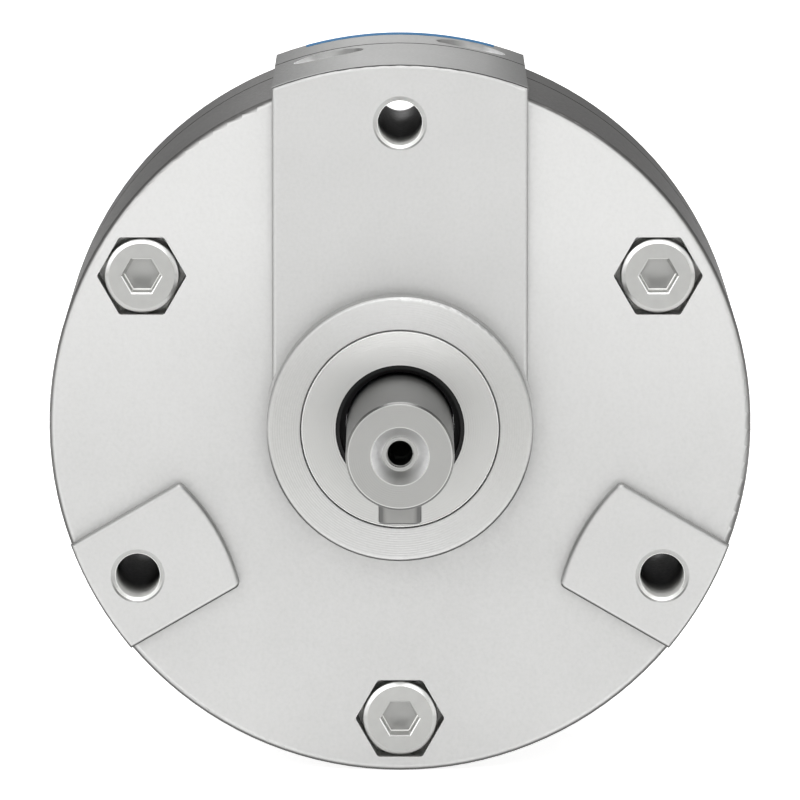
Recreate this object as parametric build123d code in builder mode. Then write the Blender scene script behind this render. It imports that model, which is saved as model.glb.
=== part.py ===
"""Single-vane pneumatic rotary actuator with a two-part round housing, in millimetres.

Frame: the shaft points along -Y, +Z is up towards the air ports, and the origin
lies on the shaft axis in the plane of the three front mounting pads.
"""
from build123d import *
from math import cos, radians, sqrt, tan
import os

# Housing outline. Depths are measured along +Y from the mounting pads.
body_radius = 33.0
face_depth = 1.3
rear_depth = 37.0
rear_housing_thickness = 12.7
edge_round = 0.6
rear_edge_round = 3.0
parting_bevel = 0.2
block_width = 24.0
block_rise = 1.0
boss_radius = 12.5
boss_height = 2.8
boss_root_step = 0.2
rear_boss_radius = 11.5

# Lower mounting pads
pad_width = 11.3
pad_inner_radius = 19.8
pad_inner_curve = 19.5
pad_corner_round = 0.6
pad_edge_round = 0.4

# Fastening holes
mount_inset = 4.5
mount_hole_radius = 2.1
mount_hole_bevel = 0.45
mount_angle = 90.0
screw_inset = 5.0
screw_angle = 30.0
hole_count = 3

# Cap screws and nuts that hold the two housings together
screw_shank_radius = 2.0
screw_clearance = 0.4
screw_core_radius = 1.6
screw_thread_length = 14.0
screw_head_radius = 3.5
screw_head_height = 4.0
screw_head_recess = 0.4
screw_head_bevel = 0.3
socket_across_flats = 3.0
socket_depth = 2.2
socket_bevel = 0.25
pocket_across_flats = 7.3
pocket_corner_round = 0.35
nut_across_flats = 7.0
nut_height = 3.2
nut_recess = 1.0
nut_bore_clearance = 0.05
screw_end_recess = 1.3

# Air ports
port_offset = 6.8
port_from_parting = 5.0
port_spot_radius = 3.3
port_spot_depth = 1.7
port_thread_radius = 2.1
port_thread_depth = 6.5
port_duct_radius = 1.2

# Vane chamber, by the walls round it
side_wall = 9.0
front_wall = 10.7
rear_wall = 6.4
running_gap = 0.1
press_gap = 0.02

# Drive shaft
shaft_radius = 5.0
shaft_reach = 20.0
shaft_shoulder_radius = 6.0
shaft_tip_bevel = 0.2
stub_radius = 4.0
stub_reach = 4.2
stub_across_flats = 6.5
stub_flat_length = 3.6
centre_mouth_radius = 2.65
centre_cone_end_radius = 1.6
centre_thread_radius = 1.25
centre_thread_depth = 9.0
centre_cone_half_angle = 30.0
drill_point_half_angle = 59.0

# Feather key
key_width = 4.0
key_height = 4.0
key_seat_depth = 2.5
key_length = 14.0
key_from_tip = 1.5
key_nose_round = 1.1
key_bevel = 0.15

# Ball bearings, one at each end of the vane
bearing_radius = 9.5
bearing_width = 5.0
bearing_pitch_radius = 7.25
ball_radius = 1.2
ball_count = 9
race_gap = 0.06
race_land = 1.3
cage_thickness = 1.0
cage_width = 3.6

# Cap ring and seals at the shaft openings
cap_radius = 9.25
cap_seat_gap = 0.1
cap_thickness = 3.5
cap_bevel = 0.1
seal_opening_radius = 6.05
seal_wall = 0.35
seal_front_recess = 0.25
seal_lip_thickness = 0.9
hub_seal_thickness = 2.2
shoulder_bore_radius = 6.5
rear_lip = 1.5

# Vane, its hub and its seal
swivel_half_angle = 135.0
hub_radius = 8.0
vane_thickness = 4.4
vane_seal_thickness = 1.0
vane_seal_groove = 1.4
vane_seal_groove_depth = 0.35
vane_pin_radius = 1.25
vane_pin_reach = 12.6
vane_pin_spacing = 8.0

# Stator block between the two ports, with its pins, seal and end cushions
stator_width = 7.0
stator_seal_width = 2.4
stator_seal_thickness = 1.2
stator_seal_share = 0.375
stator_pin_radius = 1.25
stator_pin_shares = (0.57, 0.83)
stator_pin_bite = 4.0
cushion_share = 0.25
cushion_size = 3.0
cushion_length = 8.0
cushion_gap = 0.3
cushion_stem_radius = 1.5

# Joint between the two housings
o_ring_from_chamber = 0.95
o_ring_thickness = 1.0
o_ring_groove_width = 1.15
dowel_inset = 4.2
dowel_radius = 1.5
dowel_length = 8.0

# Radii and depths that follow from the sizes above
block_radius = body_radius + block_rise
chamber_radius = body_radius - side_wall
o_ring_radius = chamber_radius + o_ring_from_chamber
mount_circle_radius = body_radius - mount_inset
screw_circle_radius = body_radius - screw_inset
dowel_circle_radius = body_radius - dowel_inset
stator_height = chamber_radius - hub_radius
stator_pin_heights = [hub_radius + share * stator_height for share in stator_pin_shares]
stator_seal_top = hub_radius + stator_seal_share * stator_height
cushion_height = hub_radius + cushion_share * stator_height
parting_depth = rear_depth - rear_housing_thickness
chamber_front = face_depth + front_wall
chamber_rear = rear_depth - rear_wall
boss_front = -boss_height
shaft_tip = boss_front - shaft_reach
cap_back = boss_front + cap_thickness
front_bearing_front = chamber_front - hub_seal_thickness - running_gap - bearing_width
front_shoulder = front_bearing_front + bearing_width
rear_shoulder = chamber_rear + hub_seal_thickness + running_gap
rear_bearing_rear = rear_shoulder + bearing_width
rear_boss_face = rear_bearing_rear + rear_lip
stub_end = rear_boss_face + stub_reach
pocket_floor = face_depth + screw_head_recess + screw_head_height
nut_floor = rear_depth - nut_recess - nut_height
screw_end = rear_depth - screw_end_recess
chamber_middle = (chamber_front + chamber_rear) / 2
screw_hole_radius = screw_shank_radius + screw_clearance

os.makedirs("parts", exist_ok=True)


def across(depth):
    """Plane square to the shaft at a depth, as seen from the shaft end: +X right, +Z up."""
    return Plane.XZ.offset(-depth)


def save(builder, name):
    """Label a finished piece and write it under its node name."""
    builder.part.label = name
    export_step(builder.part, f"parts/{name}.step")


def port_block():
    """Outline of the block that carries the air ports, cut to its own outer radius."""
    with Locations((0, block_radius / 2)):
        Rectangle(block_width, block_radius)
    Circle(block_radius, mode=Mode.INTERSECT)


def drill_ports(side, depth):
    """Spot face, threaded port and narrow duct down into the vane chamber."""
    top = block_radius + 1
    spot = 1 + port_spot_depth
    with Locations((side * port_offset, depth, top)):
        CounterBoreHole(port_thread_radius, port_spot_radius, spot, spot + port_thread_depth)
        Hole(port_duct_radius, top - chamber_radius + 3)


def drill_fastening_holes(depth, length):
    """Mounting holes and screw clearance holes from a depth towards the front."""
    with BuildSketch(across(depth)) as holes:
        with PolarLocations(mount_circle_radius, hole_count, start_angle=mount_angle):
            Circle(mount_hole_radius)
        with PolarLocations(screw_circle_radius, hole_count, start_angle=screw_angle):
            Circle(screw_hole_radius)
    extrude(holes.sketch, amount=length, mode=Mode.SUBTRACT)


def hex_pockets(floor, length):
    """Hexagonal pockets for the screw heads or nuts, two flats of each level."""
    with BuildSketch(across(floor)) as pockets:
        with PolarLocations(screw_circle_radius, hole_count, start_angle=screw_angle, rotate=False):
            RegularPolygon(pocket_across_flats / 2, 6, major_radius=False)
        fillet(pockets.vertices(), pocket_corner_round)
    extrude(pockets.sketch, amount=length, mode=Mode.SUBTRACT)


def pin_holes(start, length):
    """Seats for the stator pins, drilled towards the front from a depth."""
    with BuildSketch(across(start)) as holes:
        with Locations(*[(0, height) for height in stator_pin_heights]):
            Circle(stator_pin_radius + press_gap)
    extrude(holes.sketch, amount=length, mode=Mode.SUBTRACT)


def dowel_holes(start, length):
    """Seats for the two locating dowels at the joint between the housings."""
    with BuildSketch(across(start)) as holes:
        with PolarLocations(dowel_circle_radius, 2):
            Circle(dowel_radius + press_gap)
    extrude(holes.sketch, amount=length, mode=Mode.SUBTRACT)


def round_cut(radius, start, end):
    """Round bore about the shaft axis between two depths."""
    with BuildSketch(across(end)) as bore:
        Circle(radius)
    extrude(bore.sketch, amount=end - start, mode=Mode.SUBTRACT)


def mouth_edges(builder, depth, radius):
    """Circular edges of one radius that lie in one plane across the shaft."""
    return builder.edges().filter_by(GeomType.CIRCLE).filter_by(
        lambda edge: abs(edge.radius - radius) < 1e-3 and abs(edge.center().Y - depth) < 1e-3
    )


# One lower mounting pad, drawn along +X and turned into place later
with BuildSketch() as pad_outline:
    with Locations((pad_inner_radius, 0)):
        Rectangle(body_radius, pad_width, align=(Align.MIN, Align.CENTER))
    with Locations((pad_inner_radius + pad_inner_curve, 0)):
        Circle(pad_inner_curve, mode=Mode.INTERSECT)
    Circle(body_radius, mode=Mode.INTERSECT)
    fillet(pad_outline.vertices().group_by(Axis.X)[0], pad_corner_round)


# Front housing: disc, port block, mounting pads and centring boss, cast in one
with BuildPart() as front_housing:
    with BuildSketch(across(parting_depth)):
        Circle(body_radius)
    extrude(amount=parting_depth - face_depth)
    fillet(front_housing.edges().group_by(Axis.Y)[0], edge_round)
    with BuildSketch(across(parting_depth)):
        port_block()
    extrude(amount=parting_depth)
    chamfer(front_housing.edges().group_by(Axis.Y)[-1], parting_bevel)
    fillet(front_housing.faces().sort_by(Axis.Y)[0].outer_wire().edges(), pad_edge_round)
    with BuildSketch(across(face_depth)):
        with PolarLocations(0, 2, start_angle=mount_angle + 120, angular_range=120, endpoint=True):
            add(pad_outline.sketch)
    extrude(amount=face_depth)
    pad_faces = front_housing.faces().filter_by(Axis.Y).filter_by(
        lambda face: abs(face.center().Y) < 1e-3 and face.center().Z < 0
    )
    fillet([edge for face in pad_faces for edge in face.outer_wire().edges()], pad_edge_round)
    with BuildSketch(across(face_depth)):
        Circle(boss_radius + boss_root_step)
    extrude(amount=face_depth)
    with BuildSketch(across(0)):
        Circle(boss_radius)
    extrude(amount=boss_height)
    fillet(mouth_edges(front_housing, boss_front, boss_radius), pad_edge_round)
    round_cut(chamber_radius, chamber_front, parting_depth)
    round_cut(bearing_radius, front_bearing_front, chamber_front)
    round_cut(shoulder_bore_radius, cap_back, front_bearing_front)
    round_cut(cap_radius + cap_seat_gap, boss_front, cap_back)
    drill_fastening_holes(parting_depth, parting_depth)
    chamfer(mouth_edges(front_housing, 0, mount_hole_radius), mount_hole_bevel)
    hex_pockets(pocket_floor, pocket_floor)
    drill_ports(-1, parting_depth - port_from_parting)
    pin_holes(chamber_front, stator_pin_bite)
    dowel_holes(parting_depth, dowel_length / 2)
    with BuildSketch(across(parting_depth)):
        Circle(o_ring_radius + o_ring_groove_width / 2)
        Circle(o_ring_radius - o_ring_groove_width / 2, mode=Mode.SUBTRACT)
    extrude(amount=o_ring_thickness, mode=Mode.SUBTRACT)
save(front_housing, "front_housing")


# Rear housing: closes the chamber, with its own half of the port block
with BuildPart() as rear_housing:
    with BuildSketch(across(rear_depth)):
        Circle(body_radius)
    extrude(amount=rear_depth - parting_depth)
    fillet(rear_housing.edges().group_by(Axis.Y)[-1], rear_edge_round)
    with BuildSketch(across(rear_depth)):
        port_block()
    extrude(amount=rear_depth - parting_depth)
    block_edges = rear_housing.edges().group_by(Axis.Y)[-1].filter_by(
        lambda edge: edge.center().Z > body_radius - rear_edge_round + block_rise / 2
    )
    fillet(block_edges, edge_round)
    chamfer(rear_housing.edges().group_by(Axis.Y)[0], parting_bevel)
    with BuildSketch(across(rear_boss_face)):
        Circle(rear_boss_radius)
    extrude(amount=rear_boss_face - rear_depth)
    fillet(mouth_edges(rear_housing, rear_boss_face, rear_boss_radius), pad_edge_round)
    round_cut(chamber_radius, parting_depth, chamber_rear)
    round_cut(bearing_radius, chamber_rear, rear_bearing_rear)
    round_cut(seal_opening_radius, rear_bearing_rear, rear_boss_face)
    drill_fastening_holes(rear_depth, rear_depth - parting_depth)
    chamfer(mouth_edges(rear_housing, rear_depth, mount_hole_radius), mount_hole_bevel)
    hex_pockets(rear_depth, rear_depth - nut_floor)
    drill_ports(1, parting_depth + port_from_parting)
    pin_holes(chamber_rear + stator_pin_bite, stator_pin_bite)
    dowel_holes(parting_depth + dowel_length / 2, dowel_length / 2)
save(rear_housing, "rear_housing")


# Cap ring pressed into the boss, flush with its face
with BuildPart() as front_cap_ring:
    with BuildSketch(across(cap_back)):
        Circle(cap_radius)
        Circle(seal_opening_radius, mode=Mode.SUBTRACT)
    extrude(amount=cap_thickness)
    chamfer(mouth_edges(front_cap_ring, boss_front, cap_radius), cap_bevel)
save(front_cap_ring, "front_cap_ring")


# Rubber shaft seals: a thin sleeve in the opening and a lip that turns in to the shaft
seal_outer = seal_opening_radius - press_gap
for name, mouth, back, journal in (
    ("front_shaft_seal", boss_front, cap_back, shaft_radius),
    ("rear_shaft_seal", rear_boss_face, rear_bearing_rear + running_gap, stub_radius),
):
    inward = 1 if back > mouth else -1
    lip_radius = journal + running_gap
    with BuildPart() as shaft_seal:
        with BuildSketch(Plane.XY):
            with BuildLine():
                Polyline(
                    (seal_outer, mouth + inward * seal_front_recess),
                    (seal_outer, back),
                    (lip_radius, back),
                    (lip_radius, back - inward * seal_lip_thickness),
                    (seal_outer - seal_wall, back - inward * seal_lip_thickness),
                    (seal_outer - seal_wall, mouth + inward * seal_front_recess),
                    close=True,
                )
            make_face()
        revolve(axis=Axis.Y)
    save(shaft_seal, name)


# Ball bearings: races, balls and cage of each, and the seal beside each on the chamber side
for end, front, seal_front in (
    ("front", front_bearing_front, front_shoulder + running_gap),
    ("rear", rear_shoulder, chamber_rear),
):
    middle = front + bearing_width / 2
    track = (bearing_pitch_radius, middle)

    with BuildPart() as outer_race:
        with BuildSketch(Plane.XY):
            with Locations((bearing_radius - press_gap, middle)):
                Rectangle(race_land, bearing_width, align=(Align.MAX, Align.CENTER))
            with Locations(track):
                Circle(ball_radius + race_gap, mode=Mode.SUBTRACT)
        revolve(axis=Axis.Y)
    save(outer_race, f"{end}_bearing_outer_race")

    with BuildPart() as inner_race:
        with BuildSketch(Plane.XY):
            with Locations((shaft_radius + press_gap, middle)):
                Rectangle(race_land, bearing_width, align=(Align.MIN, Align.CENTER))
            with Locations(track):
                Circle(ball_radius + race_gap, mode=Mode.SUBTRACT)
        revolve(axis=Axis.Y)
    save(inner_race, f"{end}_bearing_inner_race")

    with BuildPart() as balls:
        with Locations(across(middle)):
            with PolarLocations(bearing_pitch_radius, ball_count):
                Sphere(ball_radius)
    save(balls, f"{end}_bearing_balls")

    with BuildPart() as cage:
        with BuildSketch(Plane.XY):
            with Locations(track):
                Rectangle(cage_thickness, cage_width)
        revolve(axis=Axis.Y)
        with Locations(across(middle)):
            with PolarLocations(bearing_pitch_radius, ball_count):
                Cylinder(
                    ball_radius + race_gap,
                    2 * cage_thickness,
                    rotation=(0, 90, 0),
                    mode=Mode.SUBTRACT,
                )
    save(cage, f"{end}_bearing_cage")

    with BuildPart() as hub_seal:
        with BuildSketch(across(seal_front + hub_seal_thickness)):
            Circle(bearing_radius - press_gap)
            Circle(shaft_shoulder_radius + running_gap, mode=Mode.SUBTRACT)
        extrude(amount=hub_seal_thickness)
    save(hub_seal, f"{end}_hub_seal")


# O-ring in the face of the front housing
with BuildPart() as housing_seal:
    with BuildSketch(Plane.XY):
        with Locations((o_ring_radius, parting_depth - o_ring_thickness / 2)):
            Circle(o_ring_thickness / 2)
    revolve(axis=Axis.Y)
save(housing_seal, "housing_seal")


# Dowels that line the two housings up
with BuildPart() as locating_pins:
    with BuildSketch(across(parting_depth + dowel_length / 2)):
        with PolarLocations(dowel_circle_radius, 2):
            Circle(dowel_radius)
    extrude(amount=dowel_length)
save(locating_pins, "locating_pins")


# Socket head cap screws, standing in the hexagonal pockets of the front face
head_face = pocket_floor - screw_head_height
with BuildPart() as housing_screws:
    with BuildSketch(across(pocket_floor)):
        with PolarLocations(screw_circle_radius, hole_count, start_angle=screw_angle):
            Circle(screw_head_radius)
    extrude(amount=screw_head_height)
    chamfer(mouth_edges(housing_screws, head_face, screw_head_radius), screw_head_bevel)
    with BuildSketch(across(screw_end)):
        with PolarLocations(screw_circle_radius, hole_count, start_angle=screw_angle):
            Circle(screw_core_radius)
    extrude(amount=screw_thread_length)
    with BuildSketch(across(screw_end - screw_thread_length)):
        with PolarLocations(screw_circle_radius, hole_count, start_angle=screw_angle):
            Circle(screw_shank_radius)
    extrude(amount=screw_end - screw_thread_length - pocket_floor)
    with BuildSketch(across(head_face + socket_depth)):
        with PolarLocations(screw_circle_radius, hole_count, start_angle=screw_angle, rotate=False):
            RegularPolygon(socket_across_flats / 2, 6, major_radius=False)
    extrude(amount=socket_depth, mode=Mode.SUBTRACT)
    socket_mouths = housing_screws.edges().filter_by(GeomType.LINE).filter_by(
        lambda edge: abs(edge.center().Y - head_face) < 1e-3
    )
    chamfer(socket_mouths, socket_bevel)
save(housing_screws, "housing_screws")


# Nuts in the matching pockets of the rear face
with BuildPart() as housing_nuts:
    with BuildSketch(across(nut_floor + nut_height)):
        with PolarLocations(screw_circle_radius, hole_count, start_angle=screw_angle, rotate=False):
            RegularPolygon(nut_across_flats / 2, 6, major_radius=False)
        with PolarLocations(screw_circle_radius, hole_count, start_angle=screw_angle):
            Circle(screw_core_radius + nut_bore_clearance, mode=Mode.SUBTRACT)
    extrude(amount=nut_height)
save(housing_nuts, "housing_nuts")


# Stator block: fills the chamber between the ports, from the bore down to the hub
stator_foot = hub_radius + running_gap
with BuildPart() as stator:
    with BuildSketch(across(chamber_rear)):
        with Locations((0, chamber_radius / 2)):
            Rectangle(stator_width, chamber_radius)
        Circle(chamber_radius - press_gap, mode=Mode.INTERSECT)
        Circle(stator_foot, mode=Mode.SUBTRACT)
    extrude(amount=chamber_rear - chamber_front)
    with BuildSketch(Plane.YZ.offset(-stator_seal_width / 2)):
        with Locations((chamber_middle, stator_seal_top)):
            Rectangle(chamber_rear - chamber_front, stator_seal_top, align=(Align.CENTER, Align.MAX))
            Rectangle(
                chamber_rear - chamber_front - 2 * stator_seal_thickness,
                stator_seal_top - stator_foot - stator_seal_thickness,
                align=(Align.CENTER, Align.MAX),
                mode=Mode.SUBTRACT,
            )
    extrude(amount=stator_seal_width, mode=Mode.SUBTRACT)
    pin_holes(chamber_rear, chamber_rear - chamber_front)
    with Locations(Location((0, chamber_middle, cushion_height), (0, 90, 0))):
        Hole(cushion_stem_radius + press_gap)
save(stator, "stator")


# Seal strip in the stator: along the hub and up both side walls
with BuildPart() as stator_seal:
    with BuildSketch(Plane.YZ.offset(-stator_seal_width / 2)):
        with Locations((chamber_middle, stator_seal_top)):
            Rectangle(
                chamber_rear - chamber_front,
                stator_seal_top - stator_foot,
                align=(Align.CENTER, Align.MAX),
            )
            Rectangle(
                chamber_rear - chamber_front - 2 * stator_seal_thickness,
                stator_seal_top - stator_foot - stator_seal_thickness,
                align=(Align.CENTER, Align.MAX),
                mode=Mode.SUBTRACT,
            )
    extrude(amount=stator_seal_width)
save(stator_seal, "stator_seal")


# Pins through the stator, seated in both housings
with BuildPart() as stator_pins:
    with BuildSketch(across(chamber_rear + stator_pin_bite)):
        with Locations(*[(0, height) for height in stator_pin_heights]):
            Circle(stator_pin_radius)
    extrude(amount=chamber_rear - chamber_front + 2 * stator_pin_bite)
save(stator_pins, "stator_pins")


# End cushions: wedges on both flanks of the stator, cut to the face of the vane at its limits
limit_angle = radians(180 - swivel_half_angle)
wedge_low = cushion_height - cushion_size / 2
wedge_high = cushion_height + cushion_size / 2


def vane_face_at(height):
    """Sideways reach of a cushion at a height, just short of the vane at its limit."""
    return height * tan(limit_angle) - (vane_thickness / 2 + cushion_gap) / cos(limit_angle)


with BuildPart() as end_cushions:
    with BuildSketch(across(chamber_middle + cushion_length / 2)):
        with BuildLine():
            Polyline(
                (stator_width / 2, wedge_low),
                (vane_face_at(wedge_low), wedge_low),
                (vane_face_at(wedge_high), wedge_high),
                (stator_width / 2, wedge_high),
                close=True,
            )
        make_face()
    extrude(amount=cushion_length)
    with BuildSketch(Plane.YZ.offset(running_gap)):
        with Locations((chamber_middle, cushion_height)):
            Circle(cushion_stem_radius)
    extrude(amount=stator_width / 2 - running_gap)
    mirror(about=Plane.YZ)
save(end_cushions, "end_cushions")


# Drive shaft: keyed output end, shouldered middle under the hub, and a short rear stub
key_middle = shaft_tip + key_from_tip + key_length / 2
cone_depth = (centre_mouth_radius - centre_cone_end_radius) / tan(radians(centre_cone_half_angle))
point_length = centre_thread_radius / tan(radians(drill_point_half_angle))
with BuildPart() as drive_shaft:
    with BuildSketch(Plane.XY):
        with BuildLine():
            Polyline(
                (0, shaft_tip),
                (shaft_radius - shaft_tip_bevel, shaft_tip),
                (shaft_radius, shaft_tip + shaft_tip_bevel),
                (shaft_radius, front_shoulder),
                (shaft_shoulder_radius, front_shoulder),
                (shaft_shoulder_radius, rear_shoulder),
                (shaft_radius, rear_shoulder),
                (shaft_radius, rear_bearing_rear),
                (stub_radius, rear_bearing_rear),
                (stub_radius, stub_end - shaft_tip_bevel),
                (stub_radius - shaft_tip_bevel, stub_end),
                (0, stub_end),
                close=True,
            )
        make_face()
    revolve(axis=Axis.Y)
    with BuildSketch(Plane.XY):
        with BuildLine():
            Polyline(
                (0, shaft_tip),
                (centre_mouth_radius, shaft_tip),
                (centre_cone_end_radius, shaft_tip + cone_depth),
                (centre_thread_radius, shaft_tip + cone_depth),
                (centre_thread_radius, shaft_tip + centre_thread_depth),
                (0, shaft_tip + centre_thread_depth + point_length),
                close=True,
            )
        make_face()
    revolve(axis=Axis.Y, mode=Mode.SUBTRACT)
    with BuildSketch(Plane.XY.offset(-shaft_radius)):
        with Locations((0, key_middle)):
            RectangleRounded(key_width, key_length, key_nose_round)
    extrude(amount=key_seat_depth, mode=Mode.SUBTRACT)
    with BuildSketch(across(stub_end)):
        Circle(stub_radius)
        Rectangle(stub_across_flats, 2 * stub_radius, mode=Mode.SUBTRACT)
    extrude(amount=stub_flat_length, mode=Mode.SUBTRACT)
    with Locations(
        *[(0, chamber_middle + side * vane_pin_spacing / 2, shaft_shoulder_radius) for side in (-1, 1)]
    ):
        Hole(vane_pin_radius + press_gap, 2 * shaft_shoulder_radius)
save(drive_shaft, "drive_shaft")


# Feather key, standing proud of the shaft opposite the ports
with BuildPart() as feather_key:
    with BuildSketch(Plane.XY.offset(key_seat_depth - shaft_radius)):
        with Locations((0, key_middle)):
            RectangleRounded(
                key_width - 2 * press_gap, key_length - 2 * press_gap, key_nose_round - press_gap
            )
    extrude(amount=-key_height)
    chamfer(feather_key.edges().group_by(Axis.Z)[0], key_bevel)
save(feather_key, "feather_key")


# Rotary vane: hub on the shaft shoulder and one blade, hanging opposite the stator at rest
hub_front = chamber_front + running_gap
hub_rear = chamber_rear - running_gap
vane_tip_radius = chamber_radius - running_gap
blade_front = hub_front + vane_seal_thickness
blade_rear = hub_rear - vane_seal_thickness
blade_tip_radius = vane_tip_radius - vane_seal_thickness
with BuildPart() as rotary_vane:
    with BuildSketch(across(hub_rear)):
        Circle(hub_radius)
    extrude(amount=hub_rear - hub_front)
    with BuildSketch(across(blade_rear)):
        with Locations((0, -chamber_radius / 2)):
            Rectangle(vane_thickness, chamber_radius)
        Circle(blade_tip_radius, mode=Mode.INTERSECT)
    extrude(amount=blade_rear - blade_front)
    with BuildSketch(across(hub_rear)):
        Circle(shaft_shoulder_radius + press_gap)
    extrude(amount=hub_rear - hub_front, mode=Mode.SUBTRACT)
    with Locations(
        *[(0, chamber_middle + side * vane_pin_spacing / 2, hub_radius) for side in (-1, 1)]
    ):
        Hole(vane_pin_radius + press_gap, hub_radius + vane_pin_reach)
save(rotary_vane, "rotary_vane")


# Pins through hub and shaft into the root of the blade
with BuildPart() as vane_pins:
    with BuildSketch(Plane.XY.offset(-vane_pin_reach)):
        with Locations(
            *[(0, chamber_middle + side * vane_pin_spacing / 2) for side in (-1, 1)]
        ):
            Circle(vane_pin_radius)
    extrude(amount=vane_pin_reach + sqrt(hub_radius**2 - vane_pin_radius**2))
save(vane_pins, "vane_pins")


# Vane seal: a U that wraps the three free edges of the blade, with two running lips
with BuildPart() as vane_seal:
    with BuildSketch(across(hub_rear)):
        with Locations((0, -chamber_radius / 2)):
            Rectangle(vane_thickness, chamber_radius)
        Circle(vane_tip_radius, mode=Mode.INTERSECT)
        Circle(hub_radius + press_gap, mode=Mode.SUBTRACT)
    extrude(amount=hub_rear - hub_front)
    with BuildSketch(across(blade_rear)):
        with Locations((0, -chamber_radius / 2)):
            Rectangle(vane_thickness, chamber_radius)
        Circle(blade_tip_radius, mode=Mode.INTERSECT)
    extrude(amount=blade_rear - blade_front, mode=Mode.SUBTRACT)
    with BuildSketch(across(hub_rear)):
        with Locations((0, -chamber_radius / 2)):
            Rectangle(vane_seal_groove, chamber_radius)
        Circle(vane_tip_radius - vane_seal_groove_depth, mode=Mode.SUBTRACT)
    extrude(amount=hub_rear - hub_front, mode=Mode.SUBTRACT)
save(vane_seal, "vane_seal")
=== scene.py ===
import bpy
import math
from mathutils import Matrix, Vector


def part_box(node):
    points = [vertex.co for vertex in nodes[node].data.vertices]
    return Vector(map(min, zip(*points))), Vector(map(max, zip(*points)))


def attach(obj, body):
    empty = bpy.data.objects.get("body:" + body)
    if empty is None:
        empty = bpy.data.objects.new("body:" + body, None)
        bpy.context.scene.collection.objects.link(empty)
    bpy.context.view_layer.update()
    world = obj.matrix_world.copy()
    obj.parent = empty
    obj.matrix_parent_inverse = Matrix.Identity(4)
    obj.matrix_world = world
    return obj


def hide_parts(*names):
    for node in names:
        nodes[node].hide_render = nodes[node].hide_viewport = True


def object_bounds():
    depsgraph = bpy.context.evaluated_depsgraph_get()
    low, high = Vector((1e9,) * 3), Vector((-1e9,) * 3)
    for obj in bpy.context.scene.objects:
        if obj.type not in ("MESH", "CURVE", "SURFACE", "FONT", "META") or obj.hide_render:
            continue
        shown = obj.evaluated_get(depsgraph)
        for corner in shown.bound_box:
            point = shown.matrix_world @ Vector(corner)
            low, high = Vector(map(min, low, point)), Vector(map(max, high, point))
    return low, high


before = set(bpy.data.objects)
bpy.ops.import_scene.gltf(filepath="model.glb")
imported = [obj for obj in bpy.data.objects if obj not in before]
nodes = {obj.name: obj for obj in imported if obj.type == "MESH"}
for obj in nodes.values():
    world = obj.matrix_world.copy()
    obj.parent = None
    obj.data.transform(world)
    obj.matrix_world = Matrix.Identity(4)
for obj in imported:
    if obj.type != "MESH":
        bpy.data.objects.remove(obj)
cad_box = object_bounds()


# Studio: a sheet of white paper under the part and soft panels in front, above, behind and beside it.
# The long lens stands about 0.9 m away, as for a catalogue picture, and looks down by 7 degrees.
def linear(code):
    """An sRGB hex colour as the linear values that shaders take."""
    parts = [int(code[i:i + 2], 16) / 255 for i in (1, 3, 5)]
    return (*[c / 12.92 if c <= 0.04045 else ((c + 0.055) / 1.055) ** 2.4 for c in parts], 1.0)


def deselect():
    """Leave edit mode and select nothing."""
    if bpy.context.object and bpy.context.object.mode != "OBJECT":
        bpy.ops.object.mode_set(mode="OBJECT")
    bpy.ops.object.select_all(action="DESELECT")


scene = bpy.context.scene
scene.view_settings.view_transform = "Standard"

camera_data = bpy.data.cameras.new("catalogue_lens")
camera_data.sensor_width = 36.0
camera_data.lens = 437.8
camera_data.clip_end = 20.0
camera = bpy.data.objects.new("catalogue_lens", camera_data)
camera.location = (0.0, -0.9066, 0.11279)
camera.rotation_euler = (math.radians(90 - 6.94), 0.0, 0.0)
scene.collection.objects.link(camera)
scene.camera = camera

deselect()
bpy.ops.mesh.primitive_plane_add(size=8.0, location=(0, 0, cad_box[0][2]))
floor = bpy.context.object
floor.name = "paper_sheet"
deselect()
paper = bpy.data.materials.new("white_paper")
paper.use_nodes = True
shader = paper.node_tree.nodes["Principled BSDF"]
shader.inputs["Base Color"].default_value = linear("#f4f4f4")
shader.inputs["Roughness"].default_value = 0.9
shader.inputs["Specular IOR Level"].default_value = 0.2
shader.inputs["Emission Color"].default_value = linear("#ffffff")
shader.inputs["Emission Strength"].default_value = 0.8
floor.data.materials.append(paper)

for name, spot, width, height, power in (
    ("front_panel", (-0.2, -1.35, 0.95), 2.8, 1.0, 18.0),
    ("top_panel", (0.0, -0.25, 1.5), 1.0, 1.0, 14.0),
    ("back_panel", (-0.1, 1.3, 0.7), 0.5, 0.5, 2.0),
    ("left_panel", (-1.4, -0.5, 0.45), 0.9, 0.9, 3.0),
    ("right_panel", (1.4, -0.5, 0.45), 0.9, 0.9, 2.5),
):
    light_data = bpy.data.lights.new(name, "AREA")
    light_data.shape = "RECTANGLE"
    light_data.size = width
    light_data.size_y = height
    light_data.energy = power
    light = bpy.data.objects.new(name, light_data)
    light.location = spot
    light.rotation_euler = (-Vector(spot)).to_track_quat("-Z", "Y").to_euler()
    scene.collection.objects.link(light)

world = bpy.data.worlds.new("grey_studio")
world.use_nodes = True
world.node_tree.nodes["Background"].inputs["Color"].default_value = linear("#ffffff")
world.node_tree.nodes["Background"].inputs["Strength"].default_value = 0.25
scene.world = world


# Housings: two aluminium castings, blasted to a fine satin skin that looks dark grey round the outside.
# The faces square to the shaft are machined afterwards and brighter, and the boss face is turned.
MM = 0.001
HOLE_CIRCLE = 28.5
SCREW_CIRCLE = 28.0
HALF_DEPTH = 18.5
PAD_HEIGHT = 1.3
PARTING = 24.3
HOLE_CORE = 2.1
RING_BORE = 9.25
SPOT_RADIUS = 3.3
PORT_SPOTS = ((-6.8, 19.3), (6.8, 29.3))


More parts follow.
